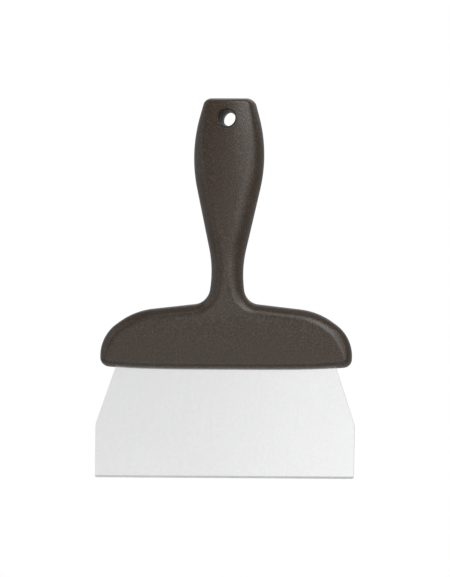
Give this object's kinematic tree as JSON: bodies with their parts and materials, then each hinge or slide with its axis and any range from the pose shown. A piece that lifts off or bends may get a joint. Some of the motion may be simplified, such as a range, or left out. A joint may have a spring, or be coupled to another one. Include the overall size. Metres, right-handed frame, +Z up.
{
  "type": "bench scraper",
  "caption": "Bench scraper with a wide straight stainless blade under a one-piece plastic handle whose grip has a hanging hole.",
  "frame": {"origin": "middle of the blade's working edge, at the middle of its thickness", "axes": "+Z up the handle, +X along the working edge to the right seen from the front, +Y through the thickness towards the back"},
  "size_m": [0.1504, 0.026, 0.2184],
  "materials": {
    "handle_plastic": "dark brown-grey, fine spark-eroded mould texture, low sheen",
    "blade_steel": "bright satin, very fine grain"
  },
  "bodies": {
    "root": {"handle": "handle_plastic", "blade": "blade_steel"}
  },
  "joints": []
}
